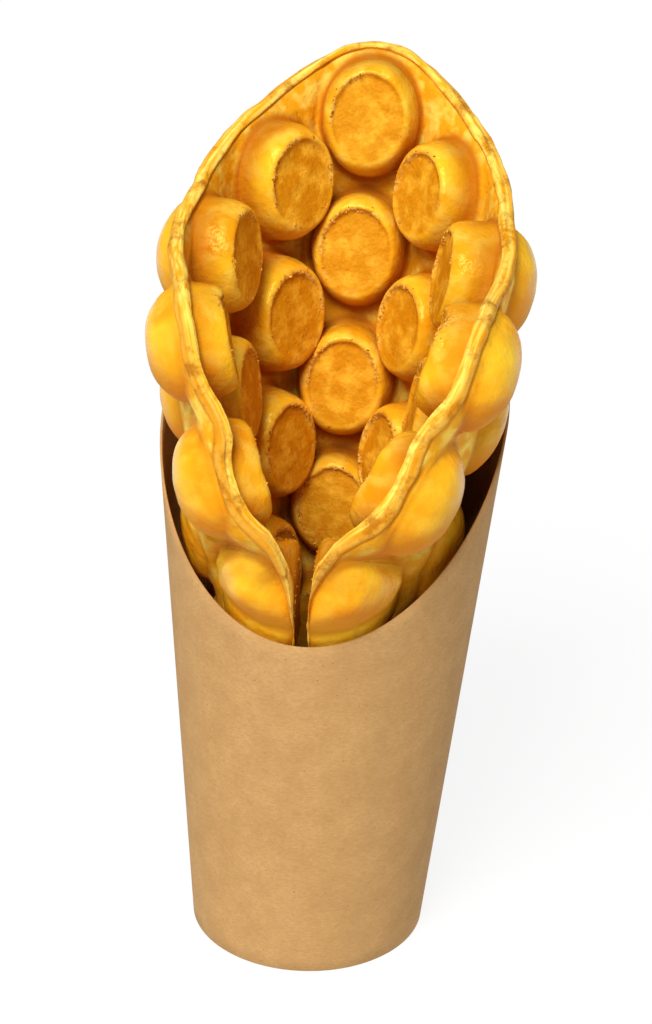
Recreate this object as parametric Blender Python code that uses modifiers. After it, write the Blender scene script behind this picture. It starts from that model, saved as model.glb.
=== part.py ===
"""Bubble waffle, rolled to an open cone and standing in a scooped paper cup.

The waffle is moulded flat first: a hexagonal sheet with thirty bubbles, each a round dome on
one side and a flat-faced drum on the other. The sheet is then rolled with its drums inward,
so that it bends in the webs between the bubbles while the bubbles keep their shape.

Metres, +Z up, the front of the roll facing -Y. Flat sheet: u across, v up, w out of the roll.
"""

import math
import random

import bmesh
import bpy
import numpy as np

# --- waffle, as it lies flat in its mould ---
PITCH = 0.0333  # from bubble to bubble along a column
COLUMN_STEP = PITCH * math.sqrt(3) / 2
MIDDLE_COLUMN_BUBBLES = 6
SIDE_COLUMNS = 3  # on each side of the middle one, each a bubble shorter
OUTER_COLUMN = SIDE_COLUMNS * COLUMN_STEP
WEB = 0.0033  # thickness of the sheet between the bubbles
LIP = 1.12  # thickness at the outer edge, as a share of the web
LIP_WIDTH = 0.004  # the web thickens to the lip over this width
SIDE_MARGIN = 0.0141  # from the outermost bubbles' middles to the edge of the sheet
END_MARGIN = 0.0205  # the same at the sheet's top and bottom corners
EDGE_ROUNDING = 40  # exponent that rounds the sheet's corners: larger is sharper

# --- one bubble ---
BASE_U, BASE_V = 0.0122, 0.0147  # half width and half height where it leaves the sheet
FACE_SHARE = 0.74  # flat face of the drum, as a share of the base
DOME_HEIGHT = 0.0110  # from the middle of the sheet
DRUM_HEIGHT = 0.0125
DOME_ROUNDNESS = 0.95  # exponent of the profile: 1 is an ellipse, less is boxier
SHOULDER_ROUNDNESS_ACROSS, SHOULDER_ROUNDNESS_UP = 0.95, 0.90
DISH = 0.0007  # hollow in the middle of the drum's face
LOW_DRUM_SHARE = 0.50  # of the lowest drum's height: drums press on each other low in the roll
LIFT_REACH = 2.5 * PITCH  # drums have their full height from this far above the lowest one
OUTER_DRUM_SHARE = 0.78  # height of the drums in the outermost columns
UNEVEN = 0.035  # spread of the bubbles' sizes, as a share
BUBBLE_SIDES = 14
SHEET_CUTS = 12
DOME_RINGS = 4
SHOULDER_RINGS = 4

# --- the roll ---
APEX = 0.195  # slant distance from the middle of the sheet down to the cone's point
SIN_HALF = 0.18  # sine of the cone's half angle
WIDTH_SHARE, DEPTH_SHARE = 0.835, 1.155  # the section is an oval, deeper than wide
BACK_TIGHTNESS = 0.08
STIFF_REACH = 1.55  # a bubble stays stiff out to its base, and the web bends freely from this share
SINK = 0.0011  # a stiff bubble's flat base cuts this far into the bent sheet
EDGE_UNCURL = math.radians(13)  # the outermost columns turn back this much
UNCURL_GROWTH = math.radians(4)  # and more for each bubble further down
LEFT_SAG, RIGHT_SAG = 0.0049, 0.0035  # the outermost columns hang this much lower than the middle one
RIGHT_OPENING = 0.0028  # the right edge stands this much wider, beside its upper two bubbles
RIGHT_OPENING_MIDDLE, RIGHT_OPENING_REACH = 0.6 * PITCH, 0.9 * PITCH
FRONT_GAP = 0.0040  # between the two edges of the sheet
FRONT_SOFTNESS = 0.0016
TANGENT_STEP = 1e-4
ROLL_TURN = math.radians(-6.75)  # about the vertical
TILT_BACK = math.radians(0.7)
TILT_SIDE = math.radians(2.7)
SHEET_MIDDLE = (0.0021, -0.0074, 0.1258)

# --- cup ---
FOOT_RADIUS = 0.031
FLARE = 0.0866  # growth of the radius with height
LEAN = 0.0283  # sideways shift with height
BOARD = 0.0006  # thickness of the wall
BASE_BOARD = 0.0005
GAP = 0.0003  # between touching boards
HEM_HEIGHT = 0.008
RIM_FRONT = 0.0998
RIM_RISE = 0.085  # of the slanting cut, from front to back
RIM_TURN = math.radians(-8)  # where the cut is lowest
RIM_BACK = 0.152  # the cut levels off here
RIM_SOFTNESS = 0.004
CUP_SIDES = 60
WALL_ROWS = 5

# --- waffle against cup ---
TUCK = 0.0046  # the middle of the sheet stays this far inside the cup's outer face
CLEAR = 0.0006  # between the waffle and the board
SQUASH = 0.0020  # softness of the bubbles that press on the board
SPREAD_ABOVE_RIM = 1.7  # sideways for each unit of height, once well above the rim
SPREAD_START = 0.0022  # above the rim
SPREAD_EASE = 0.004

SEED = 30
MERGE = 1e-4  # points closer than this are one
SHARP_ANGLE = math.radians(40)


# ---------------------------------------------------------------- helpers

def soft_over(x, softness):
    """x where it is well above zero, 0 where it is well below, and smooth between."""
    return softness * np.logaddexp(0, x / softness)


def new_object(name, mesh, collection):
    obj = bpy.data.objects.new(name, mesh)
    collection.objects.link(obj)
    return obj


def applied_mesh(obj):
    """The object's mesh with its modifiers applied."""
    depsgraph = bpy.context.evaluated_depsgraph_get()
    return bpy.data.meshes.new_from_object(obj.evaluated_get(depsgraph))


def vertex_array(mesh):
    points = np.empty(len(mesh.vertices) * 3, np.float32)
    mesh.vertices.foreach_get("co", points)
    return points.reshape(-1, 3).astype(float)


def set_vertices(mesh, points):
    mesh.vertices.foreach_set("co", points.astype(np.float32).ravel())
    mesh.update()


def material(name, colour, roughness):
    mat = bpy.data.materials.new(name)
    mat.use_nodes = True
    shader = mat.node_tree.nodes["Principled BSDF"]
    shader.inputs["Base Color"].default_value = (*colour, 1)
    shader.inputs["Roughness"].default_value = roughness
    shader.inputs["Metallic"].default_value = 0
    return mat


# ---------------------------------------------------------------- cup

def rim_height(turn):
    """Height of the cup's cut edge; turn is 0 at the front and grows towards +X."""
    slanting = RIM_FRONT + RIM_RISE * (1 - np.cos(turn - RIM_TURN)) / 2
    return RIM_BACK - soft_over(RIM_BACK - slanting, RIM_SOFTNESS)


def cup_point(turn, radius, z):
    return (LEAN * z + radius * math.sin(turn), -radius * math.cos(turn), z)


def outer_radius(z):
    return FOOT_RADIUS + FLARE * z


def turned_sheet(name, rows, thickness, collection, closed_middle=False):
    """Board that follows rows of (inset, z) round the cup, thickened inwards with Solidify."""
    bm = bmesh.new()
    turns = [2 * math.pi * i / CUP_SIDES for i in range(CUP_SIDES)]
    rings = []
    for row in rows:
        ring = []
        for turn in turns:
            inset, z = row(turn)
            ring.append(bm.verts.new(cup_point(turn, outer_radius(z) - inset, z)))
        rings.append(ring)
    for upper, lower in zip(rings, rings[1:]):
        for i in range(CUP_SIDES):
            j = (i + 1) % CUP_SIDES
            bm.faces.new((upper[i], lower[i], lower[j], upper[j]))
    if closed_middle:
        z = rows[0](0)[1]
        middle = bm.verts.new(cup_point(0, 0, z))
        for i in range(CUP_SIDES):
            bm.faces.new((middle, rings[0][i], rings[0][(i + 1) % CUP_SIDES]))
    mesh = bpy.data.meshes.new(name)
    bm.to_mesh(mesh)
    bm.free()
    obj = new_object(name, mesh, collection)
    solidify = obj.modifiers.new("board", "SOLIDIFY")
    solidify.thickness = thickness
    solidify.offset = -1
    solidify.use_even_offset = True
    return obj


def cup_wall(collection):
    """The outer board: down from the cut rim, round the foot and up inside as a hem."""
    hem_inset = 2 * BOARD + 2 * GAP + BASE_BOARD

    def wall_row(share):
        return lambda turn: (0, share * rim_height(turn))

    rows = [wall_row(1 - i / WALL_ROWS) for i in range(WALL_ROWS)]
    rows.append(lambda turn: (0, 0))
    rows.append(lambda turn: (hem_inset, 0))
    rows.append(lambda turn: (hem_inset, HEM_HEIGHT))
    return turned_sheet("cup_wall", rows, BOARD, collection)


def cup_base(collection):
    """The base: a disc above the hem, with a skirt down between the hem and the wall."""
    top = HEM_HEIGHT + GAP + BASE_BOARD
    inset = BOARD + GAP
    rows = [lambda turn: (inset, top), lambda turn: (inset, BOARD + GAP)]
    return turned_sheet("cup_base", rows, BASE_BOARD, collection, closed_middle=True)


def inside_cup(points, inset):
    """Points pressed in until they stay `inset` inside the cup's outer face, below its rim."""
    x = points[:, 0] - LEAN * points[:, 2]
    y = points[:, 1]
    reach = np.hypot(x, y) + 1e-9
    above = np.maximum(0, points[:, 2] - rim_height(np.arctan2(x, -y)) - SPREAD_START)
    spread = SPREAD_ABOVE_RIM * above ** 2 / (above + SPREAD_EASE)
    limit = outer_radius(points[:, 2]) - inset + spread
    share = (limit - soft_over(limit - reach, SQUASH)) / reach
    return np.stack([LEAN * points[:, 2] + x * share, y * share, points[:, 2]], 1)


# ---------------------------------------------------------------- flat waffle

def bubble_places():
    """Flat (u, v) of every bubble: columns of 3, 4, 5, 6, 5, 4 and 3."""
    for column in range(-SIDE_COLUMNS, SIDE_COLUMNS + 1):
        count = MIDDLE_COLUMN_BUBBLES - abs(column)
        for i in range(count):
            yield column * COLUMN_STEP, (i - (count - 1) / 2) * PITCH


def edge_reach(angle):
    """Distance from the sheet's middle to its edge: a hexagon with round corners and blunt ends."""
    end = PITCH * (MIDDLE_COLUMN_BUBBLES - 1) / 2
    slanting_side = end * math.cos(math.radians(30))
    margin = SIDE_MARGIN + (END_MARGIN - SIDE_MARGIN) * abs(math.sin(angle)) ** 3
    closeness = 0
    for facing, distance in ((0, OUTER_COLUMN), (60, slanting_side), (90, end), (120, slanting_side)):
        for side in (facing, facing + 180):
            towards = max(0, math.cos(angle - math.radians(side)))
            closeness += (towards / (distance + margin)) ** EDGE_ROUNDING
    return closeness ** (-1 / EDGE_ROUNDING)


def turned_bubble(collection):
    """One bubble as a turned profile, of unit base radius, dome height and drum height."""
    profile = []
    for i in range(DOME_RINGS + 1):
        angle = math.pi / 2 * (1 - i / DOME_RINGS)
        profile.append((math.cos(angle) ** DOME_ROUNDNESS, math.sin(angle) ** DOME_ROUNDNESS))
    for i in range(1, SHOULDER_RINGS + 1):
        angle = math.pi / 2 * i / SHOULDER_RINGS
        radius = FACE_SHARE + (1 - FACE_SHARE) * math.cos(angle) ** SHOULDER_ROUNDNESS_ACROSS
        profile.append((radius, -math.sin(angle) ** SHOULDER_ROUNDNESS_UP))
    profile[0] = (0, 1)
    profile.append((0, -1 + DISH / DRUM_HEIGHT))
    mesh = bpy.data.meshes.new("bubble_profile")
    edges = [(i, i + 1) for i in range(len(profile) - 1)]
    mesh.from_pydata([(x, 0, z) for x, z in profile], edges, [])
    obj = new_object("bubble_profile", mesh, collection)
    screw = obj.modifiers.new("turn", "SCREW")
    screw.steps = screw.render_steps = BUBBLE_SIDES
    screw.use_merge_vertices = True
    screw.merge_threshold = MERGE
    bubble = applied_mesh(obj)
    bpy.data.objects.remove(obj)
    return bubble


def flat_sheet(collection):
    """The sheet without its bubbles: a hexagon in small triangles, thickened with Solidify."""
    bm = bmesh.new()
    bmesh.ops.create_circle(bm, cap_ends=True, segments=6, radius=1)
    bmesh.ops.poke(bm, faces=bm.faces[:])
    bmesh.ops.subdivide_edges(bm, edges=bm.edges[:], cuts=SHEET_CUTS, use_grid_fill=True)
    for vert in bm.verts:
        angle = math.atan2(vert.co.y, vert.co.x)
        # how far out the vertex lies, as a share of the plain hexagon
        side_facing = math.radians(60) * round(angle / math.radians(60))
        share = vert.co.length * math.cos(angle - side_facing) / math.cos(math.pi / 6)
        reach = share * edge_reach(angle)
        vert.co = (reach * math.cos(angle), reach * math.sin(angle), 0)
    mesh = bpy.data.meshes.new("sheet")
    bm.to_mesh(mesh)
    bm.free()
    obj = new_object("bubble_waffle", mesh, collection)
    solidify = obj.modifiers.new("web", "SOLIDIFY")
    solidify.thickness = WEB
    solidify.offset = 0
    return obj


def flat_waffle(collection):
    """The sheet and its bubbles joined to one solid."""
    sheet = flat_sheet(collection)
    bubbles = bpy.data.collections.new("bubbles")
    bpy.context.scene.collection.children.link(bubbles)
    unit = turned_bubble(bubbles)
    unit_points = vertex_array(unit)
    draw = random.Random(SEED)
    lowest = -PITCH * (MIDDLE_COLUMN_BUBBLES - 1) / 2
    for i, (u, v) in enumerate(bubble_places()):
        size = 1 + UNEVEN * draw.uniform(-1, 1)
        lift = min(1, (v - lowest) / LIFT_REACH)
        drum = DRUM_HEIGHT * (LOW_DRUM_SHARE + (1 - LOW_DRUM_SHARE) * lift)
        if abs(u) > OUTER_COLUMN - COLUMN_STEP / 2:
            drum *= OUTER_DRUM_SHARE
        height = np.where(unit_points[:, 2] > 0, DOME_HEIGHT, drum) * size
        points = np.stack([u + unit_points[:, 0] * BASE_U * size,
                           v + unit_points[:, 1] * BASE_V * size,
                           unit_points[:, 2] * height], 1)
        mesh = unit.copy()
        set_vertices(mesh, points)
        new_object(f"bubble_{i}", mesh, bubbles)
    union = sheet.modifiers.new("bubbles", "BOOLEAN")
    union.operation = "UNION"
    union.operand_type = "COLLECTION"
    union.collection = bubbles
    union.solver = "EXACT"
    mesh = applied_mesh(sheet)
    sheet.modifiers.clear()
    sheet.data = mesh
    for obj in list(bubbles.objects):
        bpy.data.objects.remove(obj)
    bpy.data.collections.remove(bubbles)
    return sheet


# ---------------------------------------------------------------- roll

def tilted_axes():
    """The roll's own axes, turned about the vertical and tilted back and sideways."""
    c, s = math.cos(ROLL_TURN), math.sin(ROLL_TURN)
    turned = np.array([[c, -s, 0], [s, c, 0], [0, 0, 1]])
    c, s = math.cos(TILT_BACK), math.sin(TILT_BACK)
    back = np.array([[1, 0, 0], [0, c, s], [0, -s, c]])
    c, s = math.cos(TILT_SIDE), math.sin(TILT_SIDE)
    side = np.array([[c, 0, s], [0, 1, 0], [-s, 0, c]])
    return side @ back @ turned


def rolled_sheet(u, v):
    """A point of the sheet wrapped round the oval cone, tilted into place."""
    v = v - np.where(u < 0, LEFT_SAG, RIGHT_SAG) * (np.abs(u) / OUTER_COLUMN) ** 3
    slant = np.hypot(APEX + v, u)
    turn = np.arctan2(u, APEX + v) / SIN_HALF
    turn = turn + BACK_TIGHTNESS * np.sin(2 * turn) / 2
    cos_half = math.sqrt(1 - SIN_HALF ** 2)
    around = slant * SIN_HALF
    points = np.stack([around * np.sin(turn) * WIDTH_SHARE,
                       around * np.cos(turn) * DEPTH_SHARE,
                       (slant - APEX) * cos_half], 1)
    beside = np.exp(-((v - RIGHT_OPENING_MIDDLE) / RIGHT_OPENING_REACH) ** 2)
    points[:, 0] += RIGHT_OPENING * beside * np.maximum(0, u / OUTER_COLUMN) ** 3
    return points @ tilted_axes().T + np.array(SHEET_MIDDLE)


def unit_vectors(a):
    return a / np.linalg.norm(a, axis=1)[:, None]


def sheet_frame(u, v):
    """The bent sheet at flat (u, v), with its directions across, up and out of the roll."""
    middle = rolled_sheet(u, v)
    along_u = rolled_sheet(u + TANGENT_STEP, v) - middle
    up = unit_vectors(rolled_sheet(u, v + TANGENT_STEP) - middle)
    out = unit_vectors(np.cross(up, along_u))
    return middle, np.cross(out, up), up, out


def bubble_frames():
    """Where each bubble's middle goes in the roll, with its directions across, up and out."""
    u, v = np.array(list(bubble_places())).T
    middle, across, up, out = sheet_frame(u, v)
    # the outermost columns straighten, so that the sheet's edges point forwards
    share = (u / OUTER_COLUMN) ** 3
    uncurl = share * (EDGE_UNCURL - UNCURL_GROWTH * v / PITCH)
    c, s = np.cos(uncurl)[:, None], np.sin(uncurl)[:, None]
    return (np.stack([u, v], 1), inside_cup(middle, TUCK),
            across * c + out * s, up, out * c - across * s)


def apart_in_front(points, u):
    """The sheet's two edges kept apart where they meet in front, with the bubbles beside them."""
    own = (points - np.array(SHEET_MIDDLE)) @ tilted_axes()
    side = np.where(np.abs(u) > OUTER_COLUMN - COLUMN_STEP / 2, np.sign(u), 0)
    kept = FRONT_GAP / 2 + soft_over(side * own[:, 0] - FRONT_GAP / 2, FRONT_SOFTNESS)
    own[:, 0] = np.where(side == 0, own[:, 0], side * kept)
    return own @ tilted_axes().T + np.array(SHEET_MIDDLE)


def rolled(points):
    """Flat points rolled up: the web bends with the cone, while each bubble moves as one piece."""
    places, middles, across, up, out = bubble_frames()
    offset = points[:, None, :2] - places[None]
    spread = np.hypot(offset[..., 0] / BASE_U, offset[..., 1] / BASE_V)
    ease = np.clip((STIFF_REACH - spread) / (STIFF_REACH - 1), 0, 1)
    stiff = ease * ease * (3 - 2 * ease)
    stiff /= np.maximum(1, stiff.sum(1))[:, None]
    carried = (middles[None]
               + offset[..., :1] * across[None]
               + offset[..., 1:] * up[None]
               + (points[:, None, 2:] - SINK) * out[None])
    u, v, w = points.T
    sheet, _, _, outward = sheet_frame(u, v)
    bent = inside_cup(sheet, TUCK) + w[:, None] * outward
    whole = (stiff[..., None] * carried).sum(1) + (1 - stiff.sum(1))[:, None] * bent
    return inside_cup(apart_in_front(whole, u), BOARD + CLEAR)


def thicker_lip(points):
    """The sheet's outer edge swells to a lip."""
    angle = np.arctan2(points[:, 1], points[:, 0])
    reach = np.array([edge_reach(a) for a in angle])
    inside = np.clip((reach - np.hypot(points[:, 0], points[:, 1])) / LIP_WIDTH, 0, 1)
    in_web = np.abs(points[:, 2]) < WEB / 2 + MERGE
    swell = np.where(in_web, 1 + (LIP - 1) * (1 - inside), 1)
    return np.stack([points[:, 0], points[:, 1], points[:, 2] * swell], 1)


def bubble_waffle(collection):
    waffle = flat_waffle(collection)
    bm = bmesh.new()
    bm.from_mesh(waffle.data)
    bmesh.ops.triangulate(bm, faces=bm.faces[:])
    bm.to_mesh(waffle.data)
    bm.free()
    set_vertices(waffle.data, rolled(thicker_lip(vertex_array(waffle.data))))
    waffle.data.flip_normals()  # across, up and out of the roll are a left-handed set
    return waffle


# ---------------------------------------------------------------- object

def main():
    for obj in list(bpy.data.objects):
        bpy.data.objects.remove(obj)
    parts = bpy.data.collections.new("bubble_waffle_in_cup")
    bpy.context.scene.collection.children.link(parts)

    waffle = bubble_waffle(parts)
    wall = cup_wall(parts)
    base = cup_base(parts)
    waffle.data.materials.append(material("waffle_crust", (0.80, 0.43, 0.05), 0.45))
    wall.data.materials.append(material("kraft_board", (0.60, 0.40, 0.20), 0.85))
    base.data.materials.append(material("kraft_base_board", (0.55, 0.36, 0.18), 0.85))
    for obj in (waffle, wall, base):
        obj.data.shade_smooth()
        obj.data.set_sharp_from_angle(angle=SHARP_ANGLE)

    # the origin goes under the middle of the whole
    bounds = np.concatenate([vertex_array(obj.data) for obj in (waffle, wall)])
    middle = (bounds.min(0) + bounds.max(0)) / 2
    for obj in (waffle, wall, base):
        obj.location = (-middle[0], -middle[1], 0)


main()
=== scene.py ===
"""Bubble waffle, rolled to an open cone and standing in a scooped kraft paper cup.

The waffle is made flat, one bubble at a time, and then rolled up: the webs between the bubbles bend
while each bubble keeps its shape. Metres, +Z up, the open front of the roll facing -Y.
Flat sheet: u across, v up, w out of the roll (domes at +w, drums at -w).
"""

import math
import random

import bmesh
import bpy
import numpy as np
from mathutils import Matrix, Vector, noise


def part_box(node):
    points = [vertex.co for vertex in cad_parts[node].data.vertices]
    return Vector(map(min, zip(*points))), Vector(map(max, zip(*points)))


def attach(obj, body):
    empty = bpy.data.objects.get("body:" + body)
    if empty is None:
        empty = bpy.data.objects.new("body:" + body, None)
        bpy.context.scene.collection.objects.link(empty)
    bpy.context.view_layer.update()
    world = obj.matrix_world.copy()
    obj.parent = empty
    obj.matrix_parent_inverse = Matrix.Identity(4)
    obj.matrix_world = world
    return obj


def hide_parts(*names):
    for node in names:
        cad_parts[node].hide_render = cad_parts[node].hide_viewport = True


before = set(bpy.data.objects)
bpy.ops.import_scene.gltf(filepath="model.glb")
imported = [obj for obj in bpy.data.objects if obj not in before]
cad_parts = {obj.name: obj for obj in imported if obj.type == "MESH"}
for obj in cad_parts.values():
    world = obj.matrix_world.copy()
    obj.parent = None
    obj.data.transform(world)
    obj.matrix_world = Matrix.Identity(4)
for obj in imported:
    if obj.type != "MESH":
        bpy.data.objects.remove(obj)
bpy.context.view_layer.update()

MM = 0.001

# --- waffle, as it lies flat in its mould: the same driving sizes as its solid ---
PITCH = 33.3 * MM  # from bubble to bubble along a column
COLUMN_STEP = PITCH * math.sqrt(3) / 2
MIDDLE_COLUMN_BUBBLES = 6
SIDE_COLUMNS = 3  # on each side of the middle one, each a bubble shorter
OUTER_COLUMN = SIDE_COLUMNS * COLUMN_STEP
OUTERMOST = (SIDE_COLUMNS - 0.5) * COLUMN_STEP  # what lies further out belongs to an outermost column
COLUMN_END = PITCH * (MIDDLE_COLUMN_BUBBLES - 1) / 2  # from the sheet's middle to its top bubble
WEB = 3.3 * MM  # thickness of the sheet between the bubbles
SIDE_MARGIN = 14.1 * MM  # from the outermost bubbles' middles to the edge of the sheet
END_MARGIN = 20.5 * MM  # the same at the sheet's top and bottom corners
EDGE_ROUNDING = 40  # exponent that rounds the sheet's corners: larger is sharper

# --- one bubble ---
BASE_U, BASE_V = 12.2 * MM, 14.7 * MM  # half width and half height where it leaves the sheet
FACE_SHARE = 0.74  # flat face of the drum, as a share of the base
DOME_HEIGHT = 11.0 * MM  # from the middle of the sheet
DRUM_HEIGHT = 12.5 * MM
DOME_ROUNDNESS = 0.95  # exponent of the profile: 1 is an ellipse, less is boxier
SHOULDER_ROUNDNESS_ACROSS, SHOULDER_ROUNDNESS_UP = 0.95, 0.9
LOW_DRUM_SHARE = 0.50  # of the lowest drum's height: drums press on each other low in the roll
LIFT_REACH = 2.5 * PITCH  # drums have their full height from this far above the lowest one
OUTER_DRUM_SHARE = 0.78  # height of the drums in the outermost columns
UNEVEN = 0.035  # spread of the bubbles' sizes, as a share
SEED = 30

# --- the two bubbles lowest in front, one in each outermost column ---
FRONT_BALL_TOP = -PITCH / 2  # an outermost bubble lower than this is one of them
FRONT_BALL_SHARE = 1.27  # their size, beside the others'
FRONT_BALL_DROP = 3.8 * MM  # they slid down the sheet
LEFT_BALL_ACROSS = 2.6 * MM  # and the left one sideways, away from the gap
FRONT_BALL_TUCK = 9.4 * MM  # they stand this far in from the cup's wall, so that they stay round

# --- the roll ---
APEX = 195 * MM  # slant distance from the middle of the sheet down to the cone's point
SIN_HALF = 0.18  # sine of the cone's half angle
WIDTH_SHARE, DEPTH_SHARE = 0.835, 1.155  # the section is an oval, deeper than wide
BACK_TIGHTNESS = 0.08  # how much closer the sheet winds at the back than at the sides
STIFF_REACH = 1.55  # a bubble is stiff out to its base, and the web bends freely from this share of it
SINK = 1.1 * MM  # a stiff bubble's flat base cuts this far into the bent sheet
EDGE_UNCURL = math.radians(13)  # the outermost columns turn back this much
UNCURL_GROWTH = math.radians(4)  # and more for each bubble further down
LEFT_SAG, RIGHT_SAG = 4.9 * MM, 3.5 * MM  # the outermost columns hang lower than the middle one
RIGHT_OPENING = 2.8 * MM  # the right edge stands this much wider, beside its upper two bubbles
RIGHT_OPENING_MIDDLE, RIGHT_OPENING_REACH = 0.6 * PITCH, 0.9 * PITCH
FRONT_GAP = 4.0 * MM  # between the two edges of the sheet
FRONT_SOFTNESS = 1.6 * MM
TANGENT_STEP = 0.1 * MM  # over which the sheet's directions are measured
ROLL_TURN = math.radians(-6.75)  # about the vertical
TILT_BACK = math.radians(0.7)
TILT_SIDE = math.radians(2.7)
SHEET_MIDDLE = (2.1 * MM, -7.4 * MM, 125.8 * MM)

# --- cup ---
FOOT_RADIUS = 31 * MM
FLARE = 0.0866  # growth of the radius with height
LEAN = 0.0283  # sideways shift with height
BOARD = 0.6 * MM  # thickness of the wall
BASE_BOARD = 0.5 * MM
GAP = 0.3 * MM  # between touching boards
HEM_HEIGHT = 8 * MM
BASE_TOP = 8.8 * MM
RIM_FRONT = 99.8 * MM
RIM_RISE = 85 * MM  # of the slanting cut, from front to back
RIM_TURN = math.radians(-8)  # where the cut is lowest
RIM_BACK = 152 * MM  # the cut levels off here
RIM_SOFTNESS = 4 * MM
CUT_ROUNDING = 0.12 * MM  # of the board's cut edges
FOOT_ROUNDING = 0.25 * MM  # of the fold that the cup stands on
SEAM_TURN = math.radians(176)  # where the glued overlap ends, at the back
SEAM_STEP = 0.35 * MM
SEAM_EDGE, SEAM_SPREAD = 0.004, 0.6  # radians over which the step rises, and fades again
CUP_SIDES = 240
WALL_ROWS = 26
DISC_RINGS = (0.3, 0.6, 0.9)  # shares of the base disc's radius
CUP_MERGE = 0.005 * MM  # points closer than this are one

# --- waffle against cup ---
TUCK = 4.6 * MM  # the middle of the sheet stays this far inside the cup's outer face
CLEAR = 0.6 * MM  # between the waffle and the board
SQUASH = 3.4 * MM  # softness of the bubbles that press on the board
SPREAD_ABOVE_RIM = 1.7  # sideways for each unit of height, once well above the rim
SPREAD_START = 2.2 * MM  # above the rim
SPREAD_EASE = 4 * MM

# --- rings and rays of the waffle's surface ---
RAYS = 60  # round each bubble; a multiple of 12, so that neighbouring cells share their rim's points
DOME_RINGS = 12
SHOULDER_RINGS = 9
FACE_STATIONS = (0, 0.13, 0.26, 0.38, 0.5, 0.61, 0.71, 0.79, 0.86, 0.91, 0.95, 0.975)  # of its radius
WEB_STATIONS = (0.06, 0.2, 0.42, 0.7, 1.0)  # of the way from a bubble's base to its cell's rim
FILLET = 1.3 * MM  # where a bubble rises from the web
LEAST_WEB = 0.5 * MM  # left flat between a bubble and the end of its cell
EDGE_HALVINGS = 40  # of the stretch in which the sheet's edge is looked for
LEAST_FACING = 0.1  # cosine from which a ray counts as turned towards a neighbour
EDGE_DECIMALS = 7  # points of the sheet's edge that agree this far, in metres, are one
MERGE = 0.02 * MM  # points closer than this are one

# --- baked lip round the sheet ---
LIP_OUT = 2.7 * MM  # its width
LIP_NOSE_SHARE = 0.62  # of that width is the rounded rib, the rest its groove
LIP_HALF = 1.9 * MM  # half its thickness
LIP_ROUNDNESS = 0.75  # exponent of the rib's section: 1 is an ellipse, less is boxier
LIP_GROOVE = 0.55 * MM  # depth of the groove between lip and web
LIP_RINGS = 26
GROOVE_RINGS = 5  # on either side
LIP_RIDGES = 3
LIP_RIDGE_DEPTH = 0.16 * MM

# --- dished faces of the drums; shares are of a face's radius ---
DISH_DEPTH = 1.0 * MM  # of a drum's face at its upper left, running out to flush at its lower right
DISH_SIDE = np.array([-0.45, 0.89])  # towards the deep side, across and up
DISH_RUN = (-1.1, 1.0)  # where the depth grows, from the flush side to the deep one
DISH_STEP = (0.88, 1.0)  # where the step up to the shoulder lies
DISH_WAVER, DISH_WAVER_SIZE, DISH_SEED = 0.05, 2.6 * MM, 29  # the step's line is not quite round
DISH_HEIGHTS = (-1.5 * PITCH, -0.3 * PITCH)  # from none, on the short drums, to the full depth

# --- places on the crust that the material reads, as shares of a face's radius or a bubble's base ---
FACE_FADE = (0.95, 1.05)  # end of the toasted face
RING_AT, RING_WIDTH = 0.98, 0.065  # ragged rim round a face
RAGGED_FADE = (-0.25, 0.35)
RAGGED_SIZE, RAGGED_SEED = 5 * MM, 23
RAGGED_LEAN = 0.35  # how much more of the rim is ragged on its deep side
CREASE_AT, CREASE_WIDTH = 1.03, 0.085  # painted shade in the crease round a bubble's foot
OUTER_CREASE = 0.45  # its strength on the outer side
WEB_FADE = (1.02, 1.16)  # start of the web
LIP_FADE = (0.1 * MM, 1.1 * MM)  # start of the lip, from the sheet's own edge out
# painted shade along the groove between lip and web
GROOVE_AT, GROOVE_WIDTH = 0.6 * MM, 0.5 * MM
DEEP_SHADE_FADE = (0.2 * PITCH, 2.0 * PITCH)  # painted shade, growing below the sheet's middle, on the inner side
OUTER_DEEP_SHADE, OUTER_DEEP_SHADE_FADE = 0.7, (-0.2 * PITCH, 0.9 * PITCH)  # the same painted shade for the web's outer side
LOW_SIDE_FADE = (0.7 * WEB, 0.85 * DRUM_HEIGHT)  # a bubble's flank, up to where it turns over
UNDERSIDE_SHADE_FADE = (-0.65, 0.5)  # upward part of the normal: faces turned down get painted shade, a deeper colour

# --- relief of the crust: depth, size of the lumps, seed, and the mark that it follows ---
RELIEF = ((0.34 * MM, 9 * MM, 3, None),
          (0.14 * MM, 3.6 * MM, 7, None),
          (0.28 * MM, 5 * MM, 11, "web"),
          (0.34 * MM, 1.5 * MM, 13, "ring"),
          (0.30 * MM, 4 * MM, 17, "lip"))
STRAND_DEPTH, STRAND_SIZE, STRAND_SEED = 0.30 * MM, 1.3 * MM, 19
STRAND_STRETCH = 0.16  # the lip's surface runs in strands, this much finer across than along

# --- crumbs ---
CRUMB = 0.33 * MM  # radius
CRUMB_SMALLEST, CRUMB_LARGEST = (0.5, 0.5, 0.4), (1.8, 1.4, 0.7)  # stretch, from flat grains to flakes
CRUMBS_PER_AREA = 0.8 / MM ** 2  # where the faces' rims are most ragged
CRUMB_SEED, TURN_SEED, STRETCH_SEED = 4, 1, 2

# --- camera, light and floor ---
CAMERA_DISTANCE = 592.6 * MM
CAMERA_PITCH = math.radians(24.355)
CAMERA_ROLL = math.radians(-1.208)
CAMERA_LENS, CAMERA_SENSOR = 82.42, 36  # millimetres, as a camera takes them
AIM_ACROSS, AIM_HEIGHT = 2.9 * MM, 118.0 * MM
KEY_AZIMUTH, KEY_ELEVATION, KEY_SOFTNESS, KEY_STRENGTH = 20, 49, 30, 3.6
SKY_STRENGTH = 0.22
FLOOR_SIZE = 6
FLOOR_GREY, FLOOR_GLOW = 0.12, 0.88  # most of its white is its own, so hardly a shadow shows
WHITE = (1, 1, 1, 1)


# ---------------------------------------------------------------- small helpers

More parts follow.
